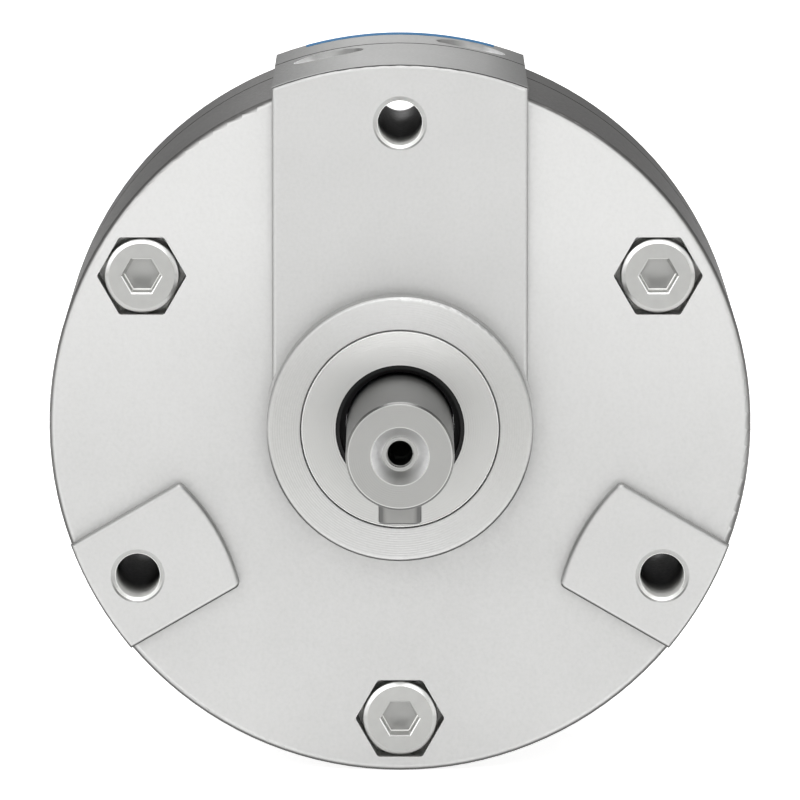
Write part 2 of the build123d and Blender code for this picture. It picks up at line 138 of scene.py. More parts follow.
def add_node(tree, kind, settings=None, links=None, out=0):
    """Add a shader node with its settings and links, and give back one of its outputs."""
    made = tree.nodes.new(kind)
    for key, value in (settings or {}).items():
        if isinstance(key, int) or key in made.inputs:
            made.inputs[key].default_value = value
        else:
            setattr(made, key, value)
    for key, source in (links or {}).items():
        tree.links.new(source, made.inputs[key])
    return made.outputs[out]


def start_material(name, base, metallic, roughness):
    """A material with its Principled shader and the object coordinates of what wears it."""
    material = bpy.data.materials.new(name)
    material.use_nodes = True
    tree = material.node_tree
    shader = tree.nodes["Principled BSDF"]
    shader.inputs["Base Color"].default_value = linear(base)
    shader.inputs["Metallic"].default_value = metallic
    shader.inputs["Roughness"].default_value = roughness
    return material, tree, shader, add_node(tree, "ShaderNodeTexCoord", out="Object")


def dress(material, *names):
    """Give CAD nodes a material in place of the plain one that they come with."""
    for name in names:
        nodes[name].data.materials.clear()
        nodes[name].data.materials.append(material)


def faces_shaft(tree, low, high):
    """1 on faces square to the shaft and 0 on faces along it."""
    normal = add_node(tree, "ShaderNodeTexCoord", out="Normal")
    lean = add_node(tree, "ShaderNodeSeparateXYZ", links={"Vector": normal}, out="Y")
    lean = add_node(tree, "ShaderNodeMath", {"operation": "ABSOLUTE"}, {0: lean})
    return add_node(tree, "ShaderNodeMapRange", {"From Min": low, "From Max": high}, {"Value": lean})


def round_zone(tree, place, x_mm, z_mm, radius_mm):
    """1 inside a cylinder along the shaft's direction and 0 outside it."""
    flat = add_node(tree, "ShaderNodeVectorMath", {"operation": "MULTIPLY", 1: (1, 0, 1)}, {0: place})
    reach = add_node(tree, "ShaderNodeVectorMath",
                     {"operation": "DISTANCE", 1: (x_mm * MM, 0, z_mm * MM)}, {0: flat}, "Value")
    return add_node(tree, "ShaderNodeMapRange",
                    {"From Min": (radius_mm + 0.03) * MM, "From Max": radius_mm * MM}, {"Value": reach})


def beside_shaft(tree, place):
    """0 above and below the shaft and 1 beside it, for the fan of light on a turned face."""
    flat = add_node(tree, "ShaderNodeVectorMath", {"operation": "MULTIPLY", 1: (1, 0, 1)}, {0: place})
    unit = add_node(tree, "ShaderNodeVectorMath", {"operation": "NORMALIZE"}, {0: flat})
    side = add_node(tree, "ShaderNodeSeparateXYZ", links={"Vector": unit}, out="X")
    return add_node(tree, "ShaderNodeMath", {"operation": "MULTIPLY"}, {0: side, 1: side})


def over_shaft(tree, place):
    """1 right above the shaft, falling to 0 beside it and below it."""
    flat = add_node(tree, "ShaderNodeVectorMath", {"operation": "MULTIPLY", 1: (1, 0, 1)}, {0: place})
    unit = add_node(tree, "ShaderNodeVectorMath", {"operation": "NORMALIZE"}, {0: flat})
    rise = add_node(tree, "ShaderNodeSeparateXYZ", links={"Vector": unit}, out="Z")
    return add_node(tree, "ShaderNodeMapRange", {"From Min": 0.0, "From Max": 1.0}, {"Value": rise})


def faces_up(tree, low, high):
    """0 on faces that look down and 1 on faces that look up."""
    normal = add_node(tree, "ShaderNodeTexCoord", out="Normal")
    lift = add_node(tree, "ShaderNodeSeparateXYZ", links={"Vector": normal}, out="Z")
    return add_node(tree, "ShaderNodeMapRange", {"From Min": low, "From Max": high}, {"Value": lift})


cast, tree, shader, place = start_material("cast_aluminium_satin", "#c8c8c7", 1.0, 0.5)
across = add_node(tree, "ShaderNodeSeparateXYZ", links={"Vector": place}, out="X")
depth = add_node(tree, "ShaderNodeSeparateXYZ", links={"Vector": place}, out="Y")
height = add_node(tree, "ShaderNodeSeparateXYZ", links={"Vector": place}, out="Z")
from_middle = add_node(tree, "ShaderNodeMath", {"operation": "SUBTRACT", 1: HALF_DEPTH * MM}, {0: depth})
from_middle = add_node(tree, "ShaderNodeMath", {"operation": "ABSOLUTE"}, {0: from_middle})
# Clouds about 9 mm wide, left by the blasting
cloud = add_node(tree, "ShaderNodeTexNoise", {"Scale": 1 / (9 * MM), "Detail": 3.0}, {"Vector": place})
skin = add_node(tree, "ShaderNodeMix", {"data_type": "RGBA", 6: linear("#6e6d6c"), 7: linear("#7a7978")},
                {0: cloud}, 2)
# The block's top is the same cast skin, painted lighter because it faces up: painted light
top_skin_painted_light = add_node(tree, "ShaderNodeMix",
                     {"data_type": "RGBA", 6: linear("#a3a3a2"), 7: linear("#b0b0af")}, {0: cloud}, 2)
machined = add_node(tree, "ShaderNodeMix",
                    {"data_type": "RGBA", 6: linear("#b6b6b5"), 7: linear("#bebebd")}, {0: cloud}, 2)
# The low face is painted a little brighter towards the top: painted light
low_face = add_node(tree, "ShaderNodeMapRange", {"From Min": 0.6 * MM, "From Max": 0.7 * MM}, {"Value": depth})
painted_light_rising = add_node(tree, "ShaderNodeMapRange", {"From Min": -4.0 * MM, "From Max": 18.0 * MM}, {"Value": height})
painted_light_rising = add_node(tree, "ShaderNodeMath", {"operation": "MULTIPLY"}, {0: low_face, 1: painted_light_rising})
machined = add_node(tree, "ShaderNodeMix", {"data_type": "RGBA", 7: linear("#c7c7c6")},
                    {0: painted_light_rising, 6: machined}, 2)
# The block's top is painted darker towards its two ends: painted shade
left_end = add_node(tree, "ShaderNodeMapRange", {"From Min": -4.0 * MM, "From Max": -12.0 * MM},
                    {"Value": across})
right_end = add_node(tree, "ShaderNodeMapRange", {"From Min": 8.0 * MM, "From Max": 12.0 * MM},
                     {"Value": across})
top_skin_painted_light = add_node(tree, "ShaderNodeMix", {"data_type": "RGBA", 7: linear("#767675")},
                     {0: left_end, 6: top_skin_painted_light}, 2)
top_skin_painted_light = add_node(tree, "ShaderNodeMix", {"data_type": "RGBA", 7: linear("#878786")},
                     {0: right_end, 6: top_skin_painted_light}, 2)
across = add_node(tree, "ShaderNodeMath", {"operation": "ABSOLUTE"}, {0: across})
on_block = add_node(tree, "ShaderNodeMapRange", {"From Min": 12.05 * MM, "From Max": 11.95 * MM},
                    {"Value": across})
on_top = add_node(tree, "ShaderNodeMapRange", {"From Min": 30.5 * MM, "From Max": 30.8 * MM},
                  {"Value": height})
port_face = add_node(tree, "ShaderNodeMath", {"operation": "MULTIPLY"}, {0: on_block, 1: on_top})
side = add_node(tree, "ShaderNodeMix", {"data_type": "RGBA"}, {0: port_face, 6: skin, 7: top_skin_painted_light}, 2)
# The low walls of the pads and the boss are machined with the front face and painted lighter than the cast
# skin, a painted reflection, and all edges that look down get painted shade
in_front = add_node(tree, "ShaderNodeMapRange",
                    {"From Min": PAD_HEIGHT * MM, "From Max": (PAD_HEIGHT - 0.1) * MM}, {"Value": depth})
side = add_node(tree, "ShaderNodeMix", {"data_type": "RGBA", 7: linear("#aaaaa9")}, {0: in_front, 6: side}, 2)
near_front = add_node(tree, "ShaderNodeMapRange", {"From Min": 2.0 * MM, "From Max": 1.9 * MM},
                      {"Value": depth})
below = add_node(tree, "ShaderNodeMapRange", {"To Min": 1.0, "To Max": 0.0},
                 {"Value": faces_up(tree, -0.3, 0.0)})
below = add_node(tree, "ShaderNodeMath", {"operation": "MULTIPLY"}, {0: below, 1: near_front})
side = add_node(tree, "ShaderNodeMix", {"data_type": "RGBA", 7: linear("#565655")}, {0: below, 6: side}, 2)
on_boss = add_node(tree, "ShaderNodeMapRange", {"From Min": -2.2 * MM, "From Max": -2.4 * MM},
                   {"Value": depth})
fan = beside_shaft(tree, place)
# Painted sheen on the turned boss face: lighter right above the shaft and darker beside it
boss_painted_sheen = add_node(tree, "ShaderNodeMix",
                       {"data_type": "RGBA", 6: linear("#bfbfbe"), 7: linear("#c8c8c7")},
                       {0: over_shaft(tree, place)}, 2)
boss_painted_sheen = add_node(tree, "ShaderNodeMix", {"data_type": "RGBA", 7: linear("#b2b2b0")},
                       {0: fan, 6: boss_painted_sheen}, 2)
machined = add_node(tree, "ShaderNodeMix", {"data_type": "RGBA"}, {0: on_boss, 6: machined, 7: boss_painted_sheen}, 2)

# Zones round the three mounting holes and the three screw pockets
in_hole = hole_mouth = hole_lip = in_pocket = None
for turn in range(3):
    hole_turn = math.radians(90 + 120 * turn)
    screw_turn = math.radians(30 + 120 * turn)
    hole_x, hole_z = HOLE_CIRCLE * math.cos(hole_turn), HOLE_CIRCLE * math.sin(hole_turn)
    screw_x, screw_z = SCREW_CIRCLE * math.cos(screw_turn), SCREW_CIRCLE * math.sin(screw_turn)
    hole = round_zone(tree, place, hole_x, hole_z, HOLE_CORE + 0.02)
    mouth = round_zone(tree, place, hole_x, hole_z, HOLE_CORE + 0.5)
    lip = round_zone(tree, place, hole_x, hole_z, HOLE_CORE + 0.26)
    pocket = round_zone(tree, place, screw_x, screw_z, 4.5)
    if turn:
        in_hole = add_node(tree, "ShaderNodeMath", {"operation": "MAXIMUM"}, {0: in_hole, 1: hole})
        hole_mouth = add_node(tree, "ShaderNodeMath", {"operation": "MAXIMUM"}, {0: hole_mouth, 1: mouth})
        hole_lip = add_node(tree, "ShaderNodeMath", {"operation": "MAXIMUM"}, {0: hole_lip, 1: lip})
        in_pocket = add_node(tree, "ShaderNodeMath", {"operation": "MAXIMUM"}, {0: in_pocket, 1: pocket})
    else:
        in_hole, hole_mouth, hole_lip, in_pocket = hole, mouth, lip, pocket
bright = add_node(tree, "ShaderNodeMath", {"operation": "MAXIMUM"},
                  {0: faces_shaft(tree, 0.75, 0.95), 1: hole_mouth})
colour = add_node(tree, "ShaderNodeMix", {"data_type": "RGBA"}, {0: bright, 6: side, 7: machined}, 2)
# The lower half of each hole's bevel, which faces up, is painted darker outside and painted bright at the lip,
# a painted highlight, and the edge along the block's top is a dark line of painted shade
for zone, code in ((hole_mouth, "#9a9a99"), (hole_lip, "#f4f4f2")):
    low_half = add_node(tree, "ShaderNodeMath", {"operation": "MULTIPLY"},
                        {0: zone, 1: faces_up(tree, 0.1, 0.45)})
    colour = add_node(tree, "ShaderNodeMix", {"data_type": "RGBA", 7: linear(code)},
                      {0: low_half, 6: colour}, 2)
turned_over = add_node(tree, "ShaderNodeMapRange", {"To Min": 1.0, "To Max": 0.0},
                       {"Value": faces_shaft(tree, 0.45, 0.7)})
edge_painted_shade = add_node(tree, "ShaderNodeMath", {"operation": "MULTIPLY"},
                     {0: faces_shaft(tree, 0.05, 0.2), 1: turned_over})
edge_painted_shade = add_node(tree, "ShaderNodeMath", {"operation": "MULTIPLY"}, {0: edge_painted_shade, 1: port_face})
colour = add_node(tree, "ShaderNodeMix", {"data_type": "RGBA", 7: linear("#3e3e3d")},
                  {0: edge_painted_shade, 6: colour}, 2)
# The threads in the holes are light at the mouth and fade into painted shade further in, black from 9.5 mm on
front_fade = add_node(tree, "ShaderNodeMapRange", {"From Min": 3.0 * MM, "From Max": 9.5 * MM},
                      {"Value": depth})
rear_fade = add_node(tree, "ShaderNodeMapRange", {"From Min": 36.6 * MM, "From Max": 35.0 * MM},
                     {"Value": depth})
hole_shade_fade = add_node(tree, "ShaderNodeMath", {"operation": "MINIMUM"}, {0: front_fade, 1: rear_fade})
hole_shade_fade = add_node(tree, "ShaderNodeMath", {"operation": "POWER", 1: 0.7}, {0: hole_shade_fade})
thread_shade = add_node(tree, "ShaderNodeMix",
                         {"data_type": "RGBA", 6: linear("#f4f4f2"), 7: linear("#1a1716")}, {0: hole_shade_fade}, 2)
colour = add_node(tree, "ShaderNodeMix", {"data_type": "RGBA"}, {0: in_hole, 6: colour, 7: thread_shade}, 2)
# The walls of the two spot faces catch the light at their outer ends and are in shade at the inner ones
for side_mm, depth_mm in PORT_SPOTS:
    flat = add_node(tree, "ShaderNodeVectorMath", {"operation": "MULTIPLY", 1: (1, 1, 0)}, {0: place})
    reach = add_node(tree, "ShaderNodeVectorMath",
                     {"operation": "DISTANCE", 1: (side_mm * MM, depth_mm * MM, 0)}, {0: flat}, "Value")
    spot = add_node(tree, "ShaderNodeMapRange",
                    {"From Min": (SPOT_RADIUS + 0.06) * MM, "From Max": (SPOT_RADIUS + 0.03) * MM},
                    {"Value": reach})
    spot = add_node(tree, "ShaderNodeMath", {"operation": "MULTIPLY"}, {0: spot, 1: on_top})
    outward = add_node(tree, "ShaderNodeMapRange", {"From Min": 5.2 * MM, "From Max": 6.6 * MM},
                       {"Value": across})
    spot_colour = add_node(tree, "ShaderNodeMix",
                           {"data_type": "RGBA", 6: linear("#9c9c9b"), 7: linear("#dadad9")}, {0: outward}, 2)
    outward = add_node(tree, "ShaderNodeMapRange", {"From Min": 8.0 * MM, "From Max": 8.8 * MM},
                       {"Value": across})
    spot_colour = add_node(tree, "ShaderNodeMix", {"data_type": "RGBA", 7: linear("#ffffff")},
                           {0: outward, 6: spot_colour}, 2)
    colour = add_node(tree, "ShaderNodeMix", {"data_type": "RGBA"}, {0: spot, 6: colour, 7: spot_colour}, 2)
# The screw pockets are milled, and painted much lighter than the cast skin to lift the shade in them: painted
# light
below_face = add_node(tree, "ShaderNodeMapRange",
                      {"From Min": (HALF_DEPTH - 1.35) * MM, "From Max": (HALF_DEPTH - 1.6) * MM},
                      {"Value": from_middle})
milled = add_node(tree, "ShaderNodeMath", {"operation": "MULTIPLY"}, {0: in_pocket, 1: below_face})
colour = add_node(tree, "ShaderNodeMix", {"data_type": "RGBA", 7: linear("#e4e4e2")},
                  {0: milled, 6: colour}, 2)
# The bore that takes the cap ring is freshly turned; its wall is painted light to lift the shade in the gap,
# and its edge is a fine grey line
for reach_mm, code in ((RING_BORE + 0.15, "#747473"), (RING_BORE + 0.03, "#f4f4f2")):
    in_bore = add_node(tree, "ShaderNodeMath", {"operation": "MULTIPLY"},
                       {0: round_zone(tree, place, 0, 0, reach_mm), 1: on_boss})
    colour = add_node(tree, "ShaderNodeMix", {"data_type": "RGBA", 7: linear(code)},
                      {0: in_bore, 6: colour}, 2)
# A line of shade where the two housings meet
from_joint = add_node(tree, "ShaderNodeMath", {"operation": "SUBTRACT", 1: PARTING * MM}, {0: depth})
from_joint = add_node(tree, "ShaderNodeMath", {"operation": "ABSOLUTE"}, {0: from_joint})
joint = add_node(tree, "ShaderNodeMapRange", {"From Min": 0.4 * MM, "From Max": 0.25 * MM},
                 {"Value": from_joint})
colour = add_node(tree, "ShaderNodeMix", {"data_type": "RGBA", 7: linear("#242423")},
                  {0: joint, 6: colour}, 2)
tree.links.new(colour, shader.inputs["Base Color"])
# In the holes and in the ring's bore most of the mirror shine is taken away
in_shade = add_node(tree, "ShaderNodeMath", {"operation": "MAXIMUM"}, {0: in_hole, 1: in_bore})
tree.links.new(add_node(tree, "ShaderNodeMapRange", {"To Min": 1.0, "To Max": 0.3}, {"Value": in_shade}),
               shader.inputs["Metallic"])
# Blasted grain: 0.1 mm on the real part, drawn 0.35 mm wide so that it shows
grain = add_node(tree, "ShaderNodeTexNoise", {"Scale": 1 / (0.35 * MM), "Detail": 4.0}, {"Vector": place})
tree.links.new(add_node(tree, "ShaderNodeMapRange",
                        {"From Min": 0.3, "From Max": 0.7, "To Min": 0.45, "To Max": 0.57}, {"Value": grain}),
               shader.inputs["Roughness"])
relief = add_node(tree, "ShaderNodeBump", {"Strength": 0.8, "Distance": 0.014 * MM}, {"Height": grain})
# Turning marks on the boss: 0.1 mm feed, drawn every 0.22 mm
marks = add_node(tree, "ShaderNodeTexWave",
                 {"wave_type": "RINGS", "rings_direction": "Y", "Scale": math.pi / (10 * 0.22 * MM),
                  "Distortion": 0.4, "Detail": 2.0}, {"Vector": place}, "Fac")
marks = add_node(tree, "ShaderNodeMath", {"operation": "MULTIPLY"}, {0: on_boss, 1: marks})
relief = add_node(tree, "ShaderNodeBump", {"Strength": 1.0, "Distance": 0.006 * MM},
                  {"Height": marks, "Normal": relief})
tree.links.new(relief, shader.inputs["Normal"])
dress(cast, "front_housing", "rear_housing")


# Port threads: M5 threads that the air fittings screw into, tapped in the two bores on top of the block.
# Each is one ridge that winds down the bore, of the housing's own aluminium.
def settle(piece):
    """Put a piece's place, turn and size into its mesh, with its origin on the part's own."""
    deselect()
    piece.select_set(True)
    bpy.context.view_layer.objects.active = piece
    bpy.ops.object.transform_apply(location=True, rotation=True, scale=True)
    return piece


def join_pieces(first, *others):
    """Make several pieces one, under the first one's name."""
    deselect()
    for piece in (first, *others):
        piece.select_set(True)
    bpy.context.view_layer.objects.active = first
    bpy.ops.object.join()
    return first


def wind_thread(name, wall_mm, crest_mm, pitch_mm, start_mm, turns):
    """A ridge that winds along the shaft's direction, swept from a three-cornered section."""
    inward = crest_mm < wall_mm
    rise = abs(crest_mm - wall_mm)
    deselect()
    bpy.ops.mesh.primitive_circle_add(
        vertices=3, radius=1.0, fill_type="NOTHING",
        location=((min(wall_mm, crest_mm) + rise * (2 if inward else 1) / 3) * MM, 0, 0),
        rotation=(0, 0, math.radians(90 if inward else -90)))
    ridge = bpy.context.object
    ridge.name = name
    ridge.scale = (0.5 * pitch_mm * MM, rise / 1.5 * MM, 1.0)
    settle(ridge)
    sweep = ridge.modifiers.new("sweep", "SCREW")
    sweep.axis = "Y"
    sweep.screw_offset = pitch_mm * MM
    sweep.iterations = turns
    sweep.steps = 28
    sweep.render_steps = 28
    bpy.ops.object.modifier_apply(modifier="sweep")
    bpy.ops.object.mode_set(mode="EDIT")
    bpy.ops.mesh.select_all(action="SELECT")
    bpy.ops.mesh.fill_holes(sides=3)
    bpy.ops.mesh.normals_make_consistent(inside=False)
    bpy.ops.object.mode_set(mode="OBJECT")
    ridge.location = (0, start_mm * MM, 0)
    return settle(ridge)


ridges = []
for side_mm, depth_mm in PORT_SPOTS:
    ridge = wind_thread("port_threads", 2.12, 1.8, 0.8, 0, 7)
    ridge.rotation_euler = (math.radians(90), 0, 0)
    ridge.location = (side_mm * MM, depth_mm * MM, 26.2 * MM)
    ridges.append(settle(ridge))
port_threads = join_pieces(*ridges)
port_threads.data.materials.append(cast)
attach(port_threads, "housing")


# Cap ring: turned from aluminium bar and pressed into the boss, with fine tool marks round its face.
# The stator block and the vane inside are milled from the same bar.
turned, tree, shader, place = start_material("turned_aluminium", "#d0d0ce", 1.0, 0.42)
fan = beside_shaft(tree, place)
cloud = add_node(tree, "ShaderNodeTexNoise", {"Scale": 1 / (3 * MM), "Detail": 3.0}, {"Vector": place})
bar_colour_and_sheen = add_node(tree, "ShaderNodeMix",
                      {"data_type": "RGBA", 6: linear("#b2b2b0"), 7: linear("#b8b8b6")}, {0: cloud}, 2)
# Painted sheen on the turned face: lighter right above the shaft and darker beside it
bar_colour_and_sheen = add_node(tree, "ShaderNodeMix", {"data_type": "RGBA", 7: linear("#dededc")},
                      {0: over_shaft(tree, place), 6: bar_colour_and_sheen}, 2)
bar_colour_and_sheen = add_node(tree, "ShaderNodeMix", {"data_type": "RGBA", 7: linear("#b2b2b0")},
                      {0: fan, 6: bar_colour_and_sheen}, 2)
# Walls and bevels are painted lighter than the face to lift their shade, and mirror less
bar_colour_and_sheen = add_node(tree, "ShaderNodeMix", {"data_type": "RGBA", 6: linear("#f4f4f2")},
                      {0: faces_shaft(tree, 0.8, 0.95), 7: bar_colour_and_sheen}, 2)
tree.links.new(bar_colour_and_sheen, shader.inputs["Base Color"])
tree.links.new(add_node(tree, "ShaderNodeMapRange", {"To Min": 0.3, "To Max": 1.0},
                        {"Value": faces_shaft(tree, 0.8, 0.95)}), shader.inputs["Metallic"])
marks = add_node(tree, "ShaderNodeTexWave",
                 {"wave_type": "RINGS", "rings_direction": "Y", "Scale": math.pi / (10 * 0.22 * MM),
                  "Distortion": 0.4, "Detail": 2.0}, {"Vector": place}, "Fac")
relief = add_node(tree, "ShaderNodeBump", {"Strength": 1.0, "Distance": 0.006 * MM}, {"Height": marks})
grain = add_node(tree, "ShaderNodeTexNoise", {"Scale": 1 / (0.2 * MM), "Detail": 3.0}, {"Vector": place})
relief = add_node(tree, "ShaderNodeBump", {"Strength": 0.5, "Distance": 0.003 * MM},
                  {"Height": grain, "Normal": relief})
tree.links.new(relief, shader.inputs["Normal"])
dress(turned, "front_cap_ring", "stator", "rotary_vane")


# Cap screws: cold-formed steel with a silver zinc plating, satin on top, with a painted highlight on the round
# rim.
# They stand in hexagonal pockets of the front face and clamp the two housings together.
HEAD_RADIUS = 3.5
HEAD_FRONT = 1.3
HEAD_BACK = 5.7
RIM_WIDTH = 0.42
RIM_DEPTH = 0.2
SOCKET_FLATS = 3.06
SOCKET_DEPTH = 2.2
SHANK_END = 21.7
SCREW_END = 35.7


def round_bar(name, radius_mm, front_mm, back_mm, sides=64, back_radius_mm=None):
    """A bar about the shaft's axis between two depths, straight or tapered."""
    deselect()
    back = radius_mm if back_radius_mm is None else back_radius_mm
    bpy.ops.mesh.primitive_cone_add(
        vertices=sides, radius1=back * MM, radius2=radius_mm * MM, depth=(back_mm - front_mm) * MM,
        location=(0, (front_mm + back_mm) / 2 * MM, 0), rotation=(math.radians(90), 0, 0))
    made = bpy.context.object
    made.name = name
    return settle(made)


def hex_bar(name, flats_mm, front_mm, back_mm, back_flats_mm=None):
    """A hexagonal bar with two level flats, given by its width across flats."""
    to_corner = 0.5 / math.cos(math.radians(30))
    back = flats_mm if back_flats_mm is None else back_flats_mm
    made = round_bar(name, flats_mm * to_corner, front_mm, back_mm, 6, back * to_corner)
    made.rotation_euler = (0, math.radians(30), 0)
    return settle(made)


def carve(body, tool, operation="DIFFERENCE"):
    """Cut one piece with another, or keep what both share, and drop the tool."""
    deselect()
    body.select_set(True)
    bpy.context.view_layer.objects.active = body
    change = body.modifiers.new("carve", "BOOLEAN")
    change.object = tool
    change.operation = operation
    bpy.ops.object.modifier_apply(modifier="carve")
    bpy.data.objects.remove(tool)
    return body


def round_off(piece, depth_mm, radius_mm, width_mm, segments):
    """Bevel the circular edge that lies at a depth and a radius about the shaft's axis."""
    deselect()
    piece.select_set(True)
    bpy.context.view_layer.objects.active = piece
    bpy.ops.object.mode_set(mode="EDIT")
    bpy.ops.mesh.select_mode(type="EDGE")
    bpy.ops.mesh.select_all(action="DESELECT")
    bpy.ops.object.mode_set(mode="OBJECT")
    points = piece.data.vertices
    for edge in piece.data.edges:
        edge.select = all(abs(points[i].co.y - depth_mm * MM) < 1e-5
                          and abs(math.hypot(points[i].co.x, points[i].co.z) - radius_mm * MM) < 1e-4
                          for i in edge.vertices)
    bpy.ops.object.mode_set(mode="EDIT")
    bpy.ops.mesh.bevel(offset=width_mm * MM, segments=segments, profile=0.5)
    bpy.ops.object.mode_set(mode="OBJECT")
    return piece


def open_faces(piece, chosen):
    """Open a piece in edit mode with only the chosen faces selected."""
    deselect()
    piece.select_set(True)
    bpy.context.view_layer.objects.active = piece
    bpy.ops.object.mode_set(mode="EDIT")
    bpy.ops.mesh.select_mode(type="FACE")
    bpy.ops.mesh.select_all(action="DESELECT")
    bpy.ops.object.mode_set(mode="OBJECT")
    for polygon in piece.data.polygons:
        polygon.select = chosen(polygon)
    bpy.ops.object.mode_set(mode="EDIT")


def three_round(piece, smooth_degrees):
    """Copy a piece to its three places on the screw circle, make them one, clean and smooth it."""
    twins = [piece]
    for _ in range(2):
        twin = piece.copy()
        twin.data = piece.data.copy()
        scene.collection.objects.link(twin)
        twins.append(twin)
    for turn, twin in enumerate(twins):
        angle = math.radians(30 + 120 * turn)
        twin.location = (SCREW_CIRCLE * math.cos(angle) * MM, 0, SCREW_CIRCLE * math.sin(angle) * MM)
        settle(twin)
    join_pieces(*twins)
    bpy.ops.object.mode_set(mode="EDIT")
    bpy.ops.mesh.select_all(action="SELECT")
    bpy.ops.mesh.dissolve_degenerate(threshold=0.001 * MM)
    bpy.ops.object.mode_set(mode="OBJECT")
    bpy.ops.object.shade_smooth_by_angle(angle=math.radians(smooth_degrees))
    return piece


socket_floor = HEAD_FRONT + SOCKET_DEPTH
screws = round_bar("cap_screws", HEAD_RADIUS, HEAD_FRONT + RIM_DEPTH, HEAD_BACK, 96)
open_faces(screws, lambda polygon: polygon.normal.y < -0.9)
bpy.ops.mesh.inset(thickness=RIM_WIDTH * MM, depth=RIM_DEPTH * MM)
bpy.ops.object.mode_set(mode="OBJECT")
round_off(screws, HEAD_FRONT + RIM_DEPTH, HEAD_RADIUS, 0.1, 3)
carve(screws, hex_bar("socket", SOCKET_FLATS + 0.12, HEAD_FRONT - 0.01, socket_floor - 0.08, SOCKET_FLATS))
carve(screws, hex_bar("socket_end", SOCKET_FLATS, socket_floor - 0.09, socket_floor, SOCKET_FLATS - 0.3))
carve(screws, hex_bar("socket_mouth", SOCKET_FLATS + 0.36, HEAD_FRONT - 0.01, HEAD_FRONT + 0.08,
                      SOCKET_FLATS + 0.1))
carve(screws, round_bar("punch_mark", 1.05, socket_floor - 0.01, socket_floor + 0.03, 32, 0.9))
shank = round_bar("shank", 2.0, HEAD_BACK - 0.01, SHANK_END)
core = round_bar("core", 1.62, SHANK_END - 0.01, SCREW_END)
ridge = wind_thread("screw_ridge", 1.6, 1.98, 0.7, SHANK_END + 0.4, 19)
screws = three_round(join_pieces(screws, shank, core, ridge), 20)
zinc, tree, shader, place = start_material("zinc_plated_steel", "#aaaaa8", 1.0, 0.3)
cloud = add_node(tree, "ShaderNodeTexNoise", {"Scale": 1 / (1.2 * MM), "Detail": 3.0}, {"Vector": place})
colour = add_node(tree, "ShaderNodeMix",
                  {"data_type": "RGBA", 6: linear("#9a9a98"), 7: linear("#a6a6a4")}, {0: cloud}, 2)
# Edges carry a painted highlight, brightest where they face up, and walls along the shaft are painted lighter
# to lift their shade
edge_painted_highlight = add_node(tree, "ShaderNodeMix",
                       {"data_type": "RGBA", 6: linear("#a2a2a0"), 7: linear("#f6f6f4")},
                       {0: faces_up(tree, 0.02, 0.2)}, 2)
colour = add_node(tree, "ShaderNodeMix", {"data_type": "RGBA"},
                  {0: faces_shaft(tree, 0.93, 0.97), 6: edge_painted_highlight, 7: colour}, 2)
colour = add_node(tree, "ShaderNodeMix", {"data_type": "RGBA", 6: linear("#dadad8")},
                  {0: faces_shaft(tree, 0.15, 0.4), 7: colour}, 2)
# The socket floor is painted a darker grey: painted shade at the bottom of the socket
depth = add_node(tree, "ShaderNodeSeparateXYZ", links={"Vector": place}, out="Y")
socket_bottom = add_node(tree, "ShaderNodeMapRange",
                   {"From Min": (socket_floor - 0.02) * MM, "From Max": (socket_floor - 0.005) * MM},
                   {"Value": depth})
in_head = add_node(tree, "ShaderNodeMapRange",
                   {"From Min": (socket_floor + 0.3) * MM, "From Max": (socket_floor + 0.2) * MM},
                   {"Value": depth})
socket_bottom = add_node(tree, "ShaderNodeMath", {"operation": "MULTIPLY"}, {0: socket_bottom, 1: in_head})
colour = add_node(tree, "ShaderNodeMix", {"data_type": "RGBA", 7: linear("#989896")},
                  {0: socket_bottom, 6: colour}, 2)
tree.links.new(colour, shader.inputs["Base Color"])
tree.links.new(add_node(tree, "ShaderNodeMapRange", {"To Min": 1.0, "To Max": 0.5}, {"Value": socket_bottom}),
               shader.inputs["Metallic"])
grain = add_node(tree, "ShaderNodeTexNoise", {"Scale": 1 / (0.15 * MM), "Detail": 3.0}, {"Vector": place})
relief = add_node(tree, "ShaderNodeBump", {"Strength": 0.5, "Distance": 0.003 * MM}, {"Height": grain})
tree.links.new(relief, shader.inputs["Normal"])
screws.data.materials.append(zinc)
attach(screws, "housing")
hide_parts("housing_screws")


# Hexagon nuts: plated like the screws, with bevelled corners and countersunk threads.
# They lie in the pockets of the rear face, which keep them from turning.
NUT_FLATS = 7.0
NUT_CORNERS = 4.1
nut_front, nut_back = (corner.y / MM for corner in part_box("housing_nuts"))
nuts = hex_bar("hexagon_nuts", NUT_FLATS, nut_front, nut_back)
corner_turning = round_bar("corner_turning", NUT_CORNERS, nut_front, nut_back, 72)
for end in (nut_front, nut_back):
    round_off(corner_turning, end, NUT_CORNERS, 0.42, 1)
carve(nuts, corner_turning, "INTERSECT")
carve(nuts, round_bar("thread_bore", 1.68, nut_front - 1, nut_back + 1, 48))
carve(nuts, round_bar("front_sink", 2.1, nut_front - 0.01, nut_front + 0.4, 48, 1.6))
carve(nuts, round_bar("back_sink", 1.6, nut_back - 0.4, nut_back + 0.01, 48, 2.1))
nuts = three_round(nuts, 25)
nuts.data.materials.append(zinc)
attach(nuts, "housing")
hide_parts("housing_nuts")


